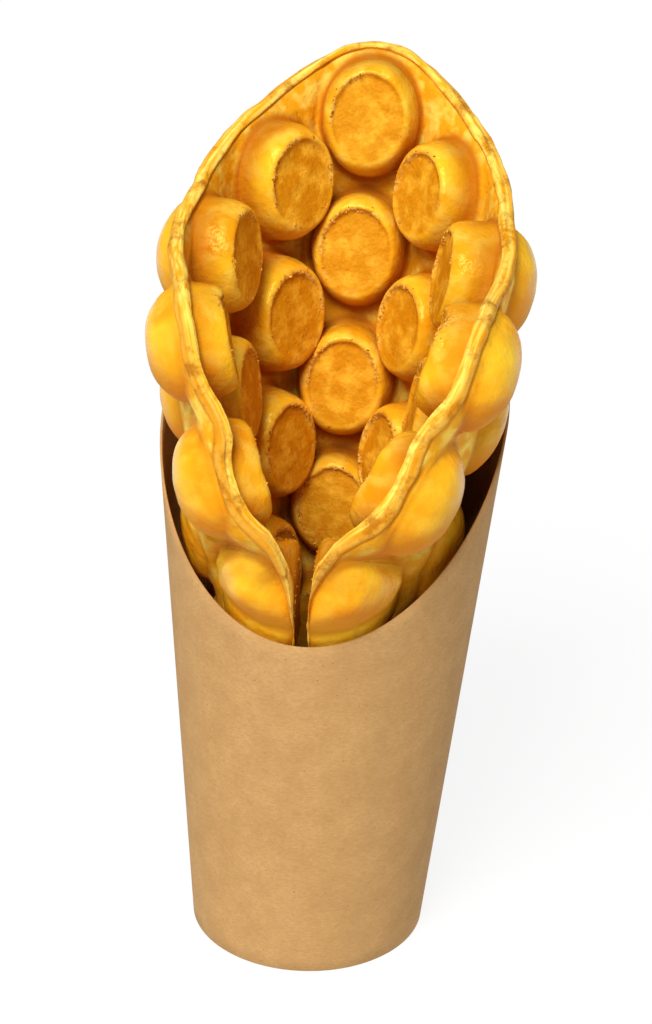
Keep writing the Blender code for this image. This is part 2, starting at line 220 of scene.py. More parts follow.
def linear(hex_colour):
    """An sRGB hex colour as the linear RGBA that the shaders take."""
    values = [int(hex_colour[i:i + 2], 16) / 255 for i in (1, 3, 5)]
    rgb = [c / 12.92 if c <= 0.04045 else ((c + 0.055) / 1.055) ** 2.4 for c in values]
    return (*rgb, 1)


def soft_over(x, softness):
    """x where it is well above zero, 0 where it is well below, and smooth between."""
    return softness * np.logaddexp(0, x / softness)


def smooth_step(low, high, x):
    """0 below low, 1 above high, and smooth between."""
    t = np.clip((x - low) / (high - low), 0, 1)
    return t * t * (3 - 2 * t)


def bump_at(middle, width, x):
    """1 at the middle, falling to nothing a few widths away."""
    return np.exp(-((x - middle) / width) ** 2)


def unit_vectors(a):
    return a / np.linalg.norm(a, axis=1)[:, None]


def lumps(points, size, seed):
    """Smooth noise between -1 and 1, with lumps of about that size; the seed moves it elsewhere."""
    shift = Vector((seed, -2.3 * seed, 3.1 * seed))
    return np.array([noise.noise(Vector(p) / size + shift) for p in points])


def new_piece(name, mesh):
    obj = bpy.data.objects.new(name, mesh)
    bpy.context.scene.collection.objects.link(obj)
    return obj


def finished_mesh(name, bm):
    mesh = bpy.data.meshes.new(name)
    bm.to_mesh(mesh)
    bm.free()
    return mesh


def vertex_array(mesh):
    points = np.empty(len(mesh.vertices) * 3, np.float32)
    mesh.vertices.foreach_get("co", points)
    return points.reshape(-1, 3).astype(float)


def set_vertices(mesh, points):
    mesh.vertices.foreach_set("co", points.astype(np.float32).ravel())
    mesh.update()


def normal_array(mesh):
    normals = np.empty(len(mesh.vertices) * 3, np.float32)
    mesh.vertices.foreach_get("normal", normals)
    return normals.reshape(-1, 3).astype(float)


def mark(mesh, name, values):
    """A number stored on each vertex, for the material to read."""
    attribute = mesh.attributes.new(name, "FLOAT", "POINT")
    attribute.data.foreach_set("value", np.asarray(values, np.float32))


def add_rings(bm, rings, middle=None):
    """Quads between rings of points, and a fan to the middle point if there is one."""
    rows = [[bm.verts.new(p) for p in ring] for ring in rings]
    for inner, outer in zip(rows, rows[1:]):
        for i in range(len(inner)):
            j = (i + 1) % len(inner)
            bm.faces.new((inner[i], outer[i], outer[j], inner[j]))
    if middle is not None:
        centre = bm.verts.new(middle)
        for i in range(len(rows[0])):
            bm.faces.new((centre, rows[0][i], rows[0][(i + 1) % len(rows[0])]))


def add(tree, kind, inputs=(), **settings):
    """A node of that kind with its settings; inputs are (socket, value or output socket) pairs."""
    node = tree.nodes.new(kind)
    for name, value in settings.items():
        setattr(node, name, value)
    for socket, value in inputs:
        if isinstance(value, bpy.types.NodeSocket):
            tree.links.new(value, node.inputs[socket])
        else:
            node.inputs[socket].default_value = value
    return node


def cup_foot_centre():
    """Middle of the cup's foot on the floor, from the solid's own place."""
    low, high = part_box("cup_base")
    return np.array([(low[0] + high[0]) / 2 - LEAN * BASE_TOP, (low[1] + high[1]) / 2, 0])


# ---------------------------------------------------------------- cup's form

def rim_height(turn):
    """Height of the cup's cut edge; turn is 0 at the front and grows towards +X."""
    slanting = RIM_FRONT + RIM_RISE * (1 - np.cos(turn - RIM_TURN)) / 2
    return RIM_BACK - soft_over(RIM_BACK - slanting, RIM_SOFTNESS)


def outer_radius(z):
    return FOOT_RADIUS + FLARE * z


def inside_cup(points, inset):
    """Points pressed in until they stay `inset` inside the cup's outer face, below its rim."""
    x = points[:, 0] - LEAN * points[:, 2]
    y = points[:, 1]
    reach = np.hypot(x, y) + 1e-9  # never 0
    above = np.maximum(0, points[:, 2] - rim_height(np.arctan2(x, -y)) - SPREAD_START)
    spread = SPREAD_ABOVE_RIM * above ** 2 / (above + SPREAD_EASE)
    limit = outer_radius(points[:, 2]) - inset + spread
    share = (limit - soft_over(limit - reach, SQUASH)) / reach
    return np.stack([LEAN * points[:, 2] + x * share, y * share, points[:, 2]], 1)


# ---------------------------------------------------------------- flat waffle

def bubble_places():
    """Flat (u, v) of every bubble: columns of 3, 4, 5, 6, 5, 4 and 3."""
    for column in range(-SIDE_COLUMNS, SIDE_COLUMNS + 1):
        count = MIDDLE_COLUMN_BUBBLES - abs(column)
        for i in range(count):
            yield column * COLUMN_STEP, (i - (count - 1) / 2) * PITCH


def bubble_sizes():
    """Each bubble's share of the plain size, and its drum's height."""
    draw = random.Random(SEED)
    for u, v in bubble_places():
        size = 1 + UNEVEN * draw.uniform(-1, 1)
        lift = min(1, (v + COLUMN_END) / LIFT_REACH)
        height = DRUM_HEIGHT * (LOW_DRUM_SHARE + (1 - LOW_DRUM_SHARE) * lift)
        if abs(u) > OUTERMOST:
            height *= OUTER_DRUM_SHARE
            size *= FRONT_BALL_SHARE if v < FRONT_BALL_TOP else 1
        yield size, height


def edge_reach(angle):
    """Distance from the sheet's middle to its edge: a hexagon with round corners and blunt ends."""
    slanting = COLUMN_END * math.cos(math.radians(30))
    margin = SIDE_MARGIN + (END_MARGIN - SIDE_MARGIN) * np.abs(np.sin(angle)) ** 3
    closeness = 0
    for facing, distance in ((0, OUTER_COLUMN), (60, slanting), (90, COLUMN_END), (120, slanting)):
        for side in (facing, facing + 180):
            towards = np.maximum(0, np.cos(angle - math.radians(side)))
            closeness = closeness + (towards / (distance + margin)) ** EDGE_ROUNDING
    return closeness ** (-1 / EDGE_ROUNDING)


def beyond_edge(points):
    """How far flat points lie outside the sheet's own edge, inside the baked lip."""
    return np.hypot(*points.T) - edge_reach(np.arctan2(points[:, 1], points[:, 0])) + LIP_OUT


def step_to_edge(starts, directions):
    """How far each flat start point is from the edge along its direction."""
    near, far = np.zeros(len(starts)), np.full(len(starts), PITCH)
    for _ in range(EDGE_HALVINGS):
        middle = (near + far) / 2
        outside = beyond_edge(starts + directions * middle[:, None]) > 0
        near, far = np.where(outside, near, middle), np.where(outside, middle, far)
    return near


def cell_rim(place, places):
    """The rim of a bubble's cell on each of its rays, and whether that point is on the sheet's edge.

    The rim is halfway to a neighbour where there is one, and otherwise the sheet's edge. Where the
    two meet, the nearest ray bends to the corner, so that cells share their corners."""
    angles = 2 * math.pi * np.arange(RAYS) / RAYS
    rays = np.stack([np.cos(angles), np.sin(angles)], 1)
    reach = step_to_edge(np.repeat(place[None], RAYS, 0), rays)
    free = np.ones(RAYS, bool)
    facings = np.radians(np.arange(30, 360, 60))  # of the six neighbours
    towards = np.stack([np.cos(facings), np.sin(facings)], 1)
    has_neighbour = [np.hypot(*(places - place - n * PITCH).T).min() < MM for n in towards]
    for n, exists in zip(towards, has_neighbour):
        facing = rays @ n
        halfway = PITCH / 2 / np.maximum(facing, LEAST_FACING)
        halfway = np.where(facing > LEAST_FACING, halfway, np.inf)
        if exists:
            free &= halfway > reach
            reach = np.minimum(reach, halfway)
    rim = place + rays * reach[:, None]
    for i, n in enumerate(towards):
        for turn in (-1, 1):
            if has_neighbour[i] and not has_neighbour[(i + turn) % 6]:
                along = turn * np.array([-n[1], n[0]])
                start = place + n * PITCH / 2
                corner = start + along * step_to_edge(start[None], along[None])
                nearest = np.argmax(rays @ (corner - place))
                rim[nearest] = corner
                free[nearest] = True
    return rays, rim, free


def profile_angles(height, rings, roundness):
    """Angles of a bubble's rings, from its top down to where the fillet takes over."""
    end = math.asin(((WEB / 2 + FILLET) / height) ** (1 / roundness))
    return [math.pi / 2 + (end - math.pi / 2) * i / rings for i in range(rings + 1)]


def dome_stations(height):
    """Rings of the outer side, from the middle out: (share of the base, of the web, height)."""
    for i, angle in enumerate(profile_angles(height, DOME_RINGS, DOME_ROUNDNESS)):
        across = math.cos(angle) ** DOME_ROUNDNESS if i else 0
        yield across, 0, height * math.sin(angle) ** DOME_ROUNDNESS
    yield from web_stations()


def drum_stations(height):
    """The same for the inner side: a flat face, a round shoulder and the web."""
    for share in FACE_STATIONS:
        yield FACE_SHARE * share, 0, height
    for angle in profile_angles(height, SHOULDER_RINGS, SHOULDER_ROUNDNESS_UP):
        across = max(0, math.cos(angle)) ** SHOULDER_ROUNDNESS_ACROSS
        up = math.sin(angle) ** SHOULDER_ROUNDNESS_UP
        yield FACE_SHARE + (1 - FACE_SHARE) * across, 0, height * up
    yield from web_stations()


def web_stations():
    for share in WEB_STATIONS:
        yield 1, share, WEB / 2 + FILLET * (1 - share) ** 3


def lip_points(loop):
    """Rings of the baked lip round the sheet's edge, from its outer face to its inner face."""
    along = np.roll(loop, -1, 0) - np.roll(loop, 1, 0)
    outward = np.stack([along[:, 1], -along[:, 0]], 1) / np.linalg.norm(along, axis=1)[:, None]
    return [np.column_stack([loop + outward * out, np.full(len(loop), height)])
            for out, height in lip_profile()]


def lip_profile():
    """The lip's section as (distance out, height): groove, rounded rib with ridges, groove."""
    nose = LIP_NOSE_SHARE * LIP_OUT
    start = LIP_OUT - nose
    for i in range(-GROOVE_RINGS, LIP_RINGS + GROOVE_RINGS + 1):
        if 0 <= i <= LIP_RINGS:
            angle = math.pi * i / LIP_RINGS
            wave = 1 - math.cos(2 * math.pi * LIP_RIDGES * i / LIP_RINGS)
            ridge = 1 - LIP_RIDGE_DEPTH / nose * wave
            cosine, sine = math.cos(angle), max(0, math.sin(angle))
            yield (start + nose * ridge * sine ** LIP_ROUNDNESS,
                   LIP_HALF * math.copysign(abs(cosine) ** LIP_ROUNDNESS, cosine))
        else:
            steps = i + GROOVE_RINGS if i < 0 else LIP_RINGS + GROOVE_RINGS - i
            share = steps / GROOVE_RINGS
            groove = LIP_GROOVE * math.sin(math.pi * share) ** 2
            rise = WEB / 2 + (LIP_HALF - WEB / 2) * share - groove
            yield start * share, math.copysign(rise, LIP_RINGS / 2 - i)


def flat_waffle():
    """The whole waffle as it leaves its mould, as one closed mesh."""
    places = np.array(list(bubble_places()))
    bm = bmesh.new()
    edge = []
    for place, (size, drum) in zip(places, bubble_sizes()):
        rays, rim, free = cell_rim(place, places)
        base = size / np.hypot(rays[:, 0] / BASE_U, rays[:, 1] / BASE_V)
        room = np.hypot(*(rim - place).T) - LEAST_WEB
        base = room - soft_over(room - base, LEAST_WEB)
        start = place + rays * base[:, None]
        sides = ((dome_stations(DOME_HEIGHT * size), 1), (drum_stations(drum * size), -1))
        for stations, side in sides:
            rings = []
            for share, web_share, height in stations:
                flat = place + (start - place) * share + (rim - start) * web_share
                rings.append(np.column_stack([flat, np.full(RAYS, side * height)]))
            middle = rings.pop(0)[0]
            add_rings(bm, rings, middle)
        edge.extend(rim[free])
    edge = np.unique(np.round(edge, EDGE_DECIMALS), axis=0)
    edge = edge[np.argsort(np.arctan2(edge[:, 1], edge[:, 0]))]
    add_rings(bm, lip_points(edge))
    bmesh.ops.remove_doubles(bm, verts=bm.verts[:], dist=MERGE)
    bmesh.ops.recalc_face_normals(bm, faces=bm.faces[:])
    return finished_mesh("waffle", bm)


# ---------------------------------------------------------------- roll

def towards_side(u):
    """0 in the middle of the sheet, 1 in its outermost columns, growing late."""
    return (np.abs(u) / OUTER_COLUMN) ** 3


def tilted_axes():
    """The roll's own axes, turned about the vertical and tilted back and sideways."""
    turned = Matrix.Rotation(ROLL_TURN, 3, "Z")
    back = Matrix.Rotation(-TILT_BACK, 3, "X")
    side = Matrix.Rotation(TILT_SIDE, 3, "Y")
    return np.array(side @ back @ turned)


def rolled_sheet(u, v):
    """A point of the sheet wrapped round the oval cone, tilted into place."""
    v = v - np.where(u < 0, LEFT_SAG, RIGHT_SAG) * towards_side(u)
    slant = np.hypot(APEX + v, u)
    turn = np.arctan2(u, APEX + v) / SIN_HALF
    turn = turn + BACK_TIGHTNESS * np.sin(2 * turn) / 2
    around = slant * SIN_HALF
    points = np.stack([around * np.sin(turn) * WIDTH_SHARE,
                       around * np.cos(turn) * DEPTH_SHARE,
                       (slant - APEX) * math.sqrt(1 - SIN_HALF ** 2)], 1)
    wider = towards_side(np.maximum(0, u)) * bump_at(RIGHT_OPENING_MIDDLE, RIGHT_OPENING_REACH, v)
    points[:, 0] += RIGHT_OPENING * wider
    return points @ tilted_axes().T + np.array(SHEET_MIDDLE)


def sheet_frame(u, v):
    """The bent sheet at flat (u, v), with its directions across, up and out of the roll."""
    middle = rolled_sheet(u, v)
    along_u = rolled_sheet(u + TANGENT_STEP, v) - middle
    up = unit_vectors(rolled_sheet(u, v + TANGENT_STEP) - middle)
    out = unit_vectors(np.cross(up, along_u))
    return middle, np.cross(out, up), up, out


def bubble_frames():
    """Where each bubble's middle goes in the roll, with its directions across, up and out."""
    u, v = np.array(list(bubble_places())).T
    in_front = (np.abs(u) > OUTERMOST) & (v < FRONT_BALL_TOP)
    aside = LEFT_BALL_ACROSS * (in_front & (u < 0))
    middle, across, up, out = sheet_frame(u + aside, v - FRONT_BALL_DROP * in_front)
    uncurl = np.sign(u) * towards_side(u) * (EDGE_UNCURL - UNCURL_GROWTH * v / PITCH)
    c, s = np.cos(uncurl)[:, None], np.sin(uncurl)[:, None]
    places = np.where(in_front[:, None], inside_cup(middle, FRONT_BALL_TUCK), inside_cup(middle, TUCK))
    return np.stack([u, v], 1), places, across * c + out * s, up, out * c - across * s


def apart_in_front(points, u):
    """The sheet's two edges kept apart where they meet in front, with the bubbles beside them."""
    own = (points - np.array(SHEET_MIDDLE)) @ tilted_axes()
    side = np.where(np.abs(u) > OUTERMOST, np.sign(u), 0)
    kept = FRONT_GAP / 2 + soft_over(side * own[:, 0] - FRONT_GAP / 2, FRONT_SOFTNESS)
    own[:, 0] = np.where(side == 0, own[:, 0], side * kept)
    return own @ tilted_axes().T + np.array(SHEET_MIDDLE)


def rolled(points):
    """Flat points rolled up: the web bends with the cone, while each bubble moves as one piece."""
    places, middles, across, up, out = bubble_frames()
    offset = points[:, None, :2] - places[None]
    spread = np.hypot(offset[..., 0] / BASE_U, offset[..., 1] / BASE_V)
    stiff = 1 - smooth_step(1, STIFF_REACH, spread)
    stiff /= np.maximum(1, stiff.sum(1))[:, None]
    carried = (middles[None]
               + offset[..., :1] * across[None]
               + offset[..., 1:] * up[None]
               + (points[:, None, 2:] - SINK) * out[None])
    u, v, w = points.T
    sheet, _, _, outward = sheet_frame(u, v)
    bent = inside_cup(sheet, TUCK) + w[:, None] * outward
    whole = (stiff[..., None] * carried).sum(1) + (1 - stiff.sum(1))[:, None] * bent
    return inside_cup(apart_in_front(whole, u), BOARD + CLEAR)


# ---------------------------------------------------------------- waffle

def on_bubble(flat):
    """Each vertex's place on its own bubble: as a share of the base, and how far to the dished side."""
    places = np.array(list(bubble_places()))
    sizes = np.array([size for size, _ in bubble_sizes()])
    offset = (flat[:, None, :2] - places[None]) / sizes[None, :, None] / (BASE_U, BASE_V)
    spread = np.hypot(offset[..., 0], offset[..., 1])
    own = spread.argmin(1)
    rows = np.arange(len(flat))
    return spread[rows, own], offset[rows, own] @ DISH_SIDE / FACE_SHARE


def dished(flat):
    """Flat points with the drums' faces sunk behind a ragged step."""
    share, towards = on_bubble(flat)
    face = share / FACE_SHARE + DISH_WAVER * lumps(flat * (1, 1, 0), DISH_WAVER_SIZE, DISH_SEED)
    depth = DISH_DEPTH * smooth_step(*DISH_RUN, towards) * (1 - smooth_step(*DISH_STEP, face))
    depth *= smooth_step(*DISH_HEIGHTS, flat[:, 1])
    sunk = flat.copy()
    sunk[:, 2] += np.where(flat[:, 2] < -WEB, depth, 0)
    return sunk


def ragged_part(flat, towards):
    """Only stretches of a face's rim are ragged, most of them on the side where its step is."""
    patchy = lumps(flat * (1, 1, 0), RAGGED_SIZE, RAGGED_SEED)
    return smooth_step(*RAGGED_FADE, patchy + RAGGED_LEAN * towards)


def surface_marks(flat):
    """Where each vertex is on the flat waffle, for the material.

    All are shares from 0 to 1, apart from the last two: the distance along the lip and the height
    across its thickness, in metres."""
    share, towards = on_bubble(flat)
    u, v, w = flat.T
    inner, drum_side = w < -WEB, w < 0
    face = share / FACE_SHARE
    from_edge = beyond_edge(flat[:, :2])
    lip = smooth_step(*LIP_FADE, from_edge)
    web = smooth_step(*WEB_FADE, share) * (1 - lip)
    ring = np.where(inner, bump_at(RING_AT, RING_WIDTH, face), 0)
    # painted shade in the crease round each bubble's foot, weaker on the outer side
    crease_shade = bump_at(CREASE_AT, CREASE_WIDTH, share) * np.where(drum_side, 1, OUTER_CREASE)
    return {
        "toast": np.where(inner, 1 - smooth_step(*FACE_FADE, face), 0),
        "ring": ring * ragged_part(flat, towards),
        "crease_shade": crease_shade * (1 - lip),
        "web": web,
        # painted shade low in the roll, on the inner side and on the outer web
        "deep_shade": np.where(drum_side, smooth_step(*DEEP_SHADE_FADE, -v),
                         OUTER_DEEP_SHADE * web * smooth_step(*OUTER_DEEP_SHADE_FADE, -v)),
        "lip": lip,
        "lip_groove_shade": bump_at(GROOVE_AT, GROOVE_WIDTH, from_edge),
        "drum": np.where(drum_side, 1.0, 0.0),
        "low_side": 1 - smooth_step(*LOW_SIDE_FADE, np.abs(w)),
        "along": np.arctan2(v, u) * np.hypot(u, v),
        "thick": w,
    }


def roughen(mesh, flat, marks):
    """Baked batter is never quite even: soft lumps all over, a ragged rim round each drum's face."""
    normals = normal_array(mesh)
    points = vertex_array(mesh)
    relief = np.zeros(len(flat))
    for depth, size, seed, name in RELIEF:
        relief += (depth * marks[name] if name else depth) * lumps(flat, size, seed)
    strands = np.column_stack([STRAND_STRETCH * marks["along"], marks["thick"], np.zeros(len(flat))])
    relief += STRAND_DEPTH * marks["lip"] * lumps(strands, STRAND_SIZE, STRAND_SEED)
    set_vertices(mesh, points + normals * relief[:, None])


def waffle():
    mesh = flat_waffle()
    plain = vertex_array(mesh)
    marks = surface_marks(plain)
    flat = dished(plain)
    for name, values in marks.items():
        mark(mesh, name, values)
    set_vertices(mesh, rolled(flat) + cup_foot_centre())
    mesh.flip_normals()  # the roll's across, up and out are a left-handed set
    # how far each face turns down: painted shade that deepens its colour, and a duller finish
    mark(mesh, "under", 1 - smooth_step(*UNDERSIDE_SHADE_FADE, normal_array(mesh)[:, 2]))
    roughen(mesh, flat, marks)
    mesh.shade_smooth()
    piece = new_piece("waffle", mesh)
    piece.data.materials.append(baked_batter())
    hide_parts("bubble_waffle")
    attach(piece, "root")
    return piece


# ---------------------------------------------------------------- crumbs

def crumb_tree(mat):
    """Scatters crumbs over a mesh where its mark "ring" is, each half sunk in the surface."""
    tree = bpy.data.node_groups.new("crumbs", "GeometryNodeTree")
    sockets = tree.interface
    sockets.new_socket("Geometry", in_out="INPUT", socket_type="NodeSocketGeometry")
    per_area = sockets.new_socket("Crumbs per area", in_out="INPUT", socket_type="NodeSocketFloat")
    radius = sockets.new_socket("Radius", in_out="INPUT", socket_type="NodeSocketFloat")
    sockets.new_socket("Geometry", in_out="OUTPUT", socket_type="NodeSocketGeometry")
    start = add(tree, "NodeGroupInput")
    ring = add(tree, "GeometryNodeInputNamedAttribute", [("Name", "ring")])
    density = add(tree, "ShaderNodeMath", [
        (0, ring.outputs[0]), (1, start.outputs[1])], operation="MULTIPLY")
    points = add(tree, "GeometryNodeDistributePointsOnFaces", [
        ("Mesh", start.outputs[0]), ("Density", density.outputs[0]), ("Seed", CRUMB_SEED)])
    crumb = add(tree, "GeometryNodeMeshIcoSphere", [
        ("Radius", start.outputs[2]), ("Subdivisions", 1)])
    turn = add(tree, "FunctionNodeRandomValue", [
        (0, (0, 0, 0)), (1, (2 * math.pi,) * 3), ("Seed", TURN_SEED)], data_type="FLOAT_VECTOR")
    stretch = add(tree, "FunctionNodeRandomValue", [
        (0, CRUMB_SMALLEST), (1, CRUMB_LARGEST), ("Seed", STRETCH_SEED)], data_type="FLOAT_VECTOR")
    placed = add(tree, "GeometryNodeInstanceOnPoints", [
        ("Points", points.outputs["Points"]), ("Instance", crumb.outputs["Mesh"]),
        ("Rotation", turn.outputs[0]), ("Scale", stretch.outputs[0])])
    real = add(tree, "GeometryNodeRealizeInstances", [("Geometry", placed.outputs[0])])
    dressed = add(tree, "GeometryNodeSetMaterial", [("Geometry", real.outputs[0]), ("Material", mat)])
    add(tree, "NodeGroupOutput", [(0, dressed.outputs[0])])
    return tree, per_area.identifier, radius.identifier


def crumbs(crust):
    """Crumbs that cling round the drums' faces."""
    tree, per_area, radius = crumb_tree(dry_crumbs())
    piece = new_piece("crust_crumbs", crust.data.copy())
    modifier = piece.modifiers.new("crumbs", "NODES")
    modifier.node_group = tree
    modifier[per_area] = CRUMBS_PER_AREA
    modifier[radius] = CRUMB
    scattered = piece.evaluated_get(bpy.context.evaluated_depsgraph_get())
    mesh = bpy.data.meshes.new_from_object(scattered)
    piece.modifiers.clear()
    piece.data = mesh
    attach(piece, "root")


# ---------------------------------------------------------------- cup

def cup_turns():
    return 2 * math.pi * np.arange(CUP_SIDES) / CUP_SIDES


def cup_ring(turns, radius, z):
    """Points round the leaning cup at one distance from its axis."""
    z = np.broadcast_to(z, turns.shape)
    radius = np.broadcast_to(radius, turns.shape)
    return np.column_stack([LEAN * z + radius * np.sin(turns), -radius * np.cos(turns), z])


def ring_solid(name, rings, middles=(None, None)):
    """A smooth mesh through rings of points; a middle closes the first or the last one."""
    bm = bmesh.new()
    add_rings(bm, rings, middles[0])
    if middles[1] is not None:
        add_rings(bm, rings[-1:], middles[1])
    bmesh.ops.remove_doubles(bm, verts=bm.verts[:], dist=CUP_MERGE)
    bmesh.ops.recalc_face_normals(bm, faces=bm.faces[:])
    mesh = finished_mesh(name, bm)
    mesh.shade_smooth()
    return mesh


def cup_wall():
    """Rings of the wall: up the outside, over the cut, down the inside and into the foot's hem."""
    turns = cup_turns()
    rim = rim_height(turns)
    past = turns - SEAM_TURN
    overlap = SEAM_STEP * smooth_step(0, SEAM_EDGE, past) * (1 - smooth_step(0, SEAM_SPREAD, past))
    edge, foot = CUT_ROUNDING, FOOT_ROUNDING
    hem = 2 * BOARD + 2 * GAP + BASE_BOARD
    fold = 2 * BOARD
    rows = [(outer_radius(0) - hem + BOARD, foot),
            (outer_radius(0) - hem / 2, 0),
            (outer_radius(0) - foot, 0)]
    for share in np.linspace(0, 1, WALL_ROWS):
        z = foot + (rim - edge - foot) * share
        rows.append((outer_radius(z) + overlap, z))
    rows += [(outer_radius(rim) - edge + overlap, rim),
             (outer_radius(rim) - BOARD + edge, rim)]
    for share in np.linspace(1, 0, WALL_ROWS):
        z = HEM_HEIGHT + (rim - edge - HEM_HEIGHT) * share
        rows.append((outer_radius(z) - BOARD, z))
    rows += [(outer_radius(fold) - BOARD, fold),
             (outer_radius(fold) - hem + BOARD, fold),
             (outer_radius(HEM_HEIGHT) - hem + BOARD, HEM_HEIGHT),
             (outer_radius(HEM_HEIGHT) - hem, HEM_HEIGHT),
             (outer_radius(0) - hem, BOARD / 2),
             rows[0]]
    return [cup_ring(turns, radius, z) for radius, z in rows]


def cup_base():
    """Rings of the base: a disc over the hem, with a skirt down between the hem and the wall."""
    inset = foot = BOARD + GAP
    inner = inset + BASE_BOARD
    under = BASE_TOP - BASE_BOARD
    rows = [((outer_radius(BASE_TOP) - inset) * share, BASE_TOP) for share in DISC_RINGS]
    rows += [(outer_radius(BASE_TOP) - inset - CUT_ROUNDING, BASE_TOP),
             (outer_radius(BASE_TOP) - inset, BASE_TOP - CUT_ROUNDING),
             (outer_radius(foot) - inset, foot),
             (outer_radius(foot) - inner, foot),
             (outer_radius(under) - inner, under)]
    rows += [((outer_radius(under) - inner) * share, under) for share in reversed(DISC_RINGS)]
    return [cup_ring(cup_turns(), radius, z) for radius, z in rows]


def cup():
    foot = cup_foot_centre()
    board = kraft_board()
    wall = ring_solid("cup_wall_board", [ring + foot for ring in cup_wall()])
    middles = [foot + (LEAN * z, 0, z) for z in (BASE_TOP, BASE_TOP - BASE_BOARD)]
    base = ring_solid("cup_base_board", [ring + foot for ring in cup_base()], middles)
    boards = (("kraft_cup_wall", wall, "cup_wall"), ("kraft_cup_base", base, "cup_base"))
    for name, mesh, node in boards:
        mesh.materials.append(board)
        piece = new_piece(name, mesh)
        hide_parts(node)
        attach(piece, "root")


# ---------------------------------------------------------------- materials

def new_material(name):
    mat = bpy.data.materials.new(name)
    mat.use_nodes = True
    return mat, mat.node_tree, mat.node_tree.nodes["Principled BSDF"]


def read(tree, name):
    """A number marked on the mesh."""
    return add(tree, "ShaderNodeAttribute", attribute_name=name).outputs["Fac"]


def remap(tree, value, low, high, to_low=0.0, to_high=1.0):
    return add(tree, "ShaderNodeMapRange",
               [(0, value), (1, low), (2, high), (3, to_low), (4, to_high)]).outputs[0]


def blend(tree, factor, first, second):
    """Colour: first where the factor is 0, second where it is 1."""
    return add(tree, "ShaderNodeMix",
               [(0, factor), (6, first), (7, second)], data_type="RGBA").outputs[2]


def calculate(tree, operation, first, second=0.0):
    return add(tree, "ShaderNodeMath", [(0, first), (1, second)], operation=operation).outputs[0]


def spots(tree, place, size, detail=2.0, roughness=0.5):
    """Soft random spots of about that size."""
    return add(tree, "ShaderNodeTexNoise", [
        ("Vector", place), ("Scale", 1 / size), ("Detail", detail),
        ("Roughness", roughness)]).outputs["Fac"]


def bumps(tree, height, distance, normal=None):
    """Normals bent by a height that runs from 0 to 1, as if it were `distance` deep."""
    inputs = [("Height", height), ("Distance", distance), ("Strength", 1.0)]
    if normal is not None:
        inputs.append(("Normal", normal))
    return add(tree, "ShaderNodeBump", inputs).outputs["Normal"]


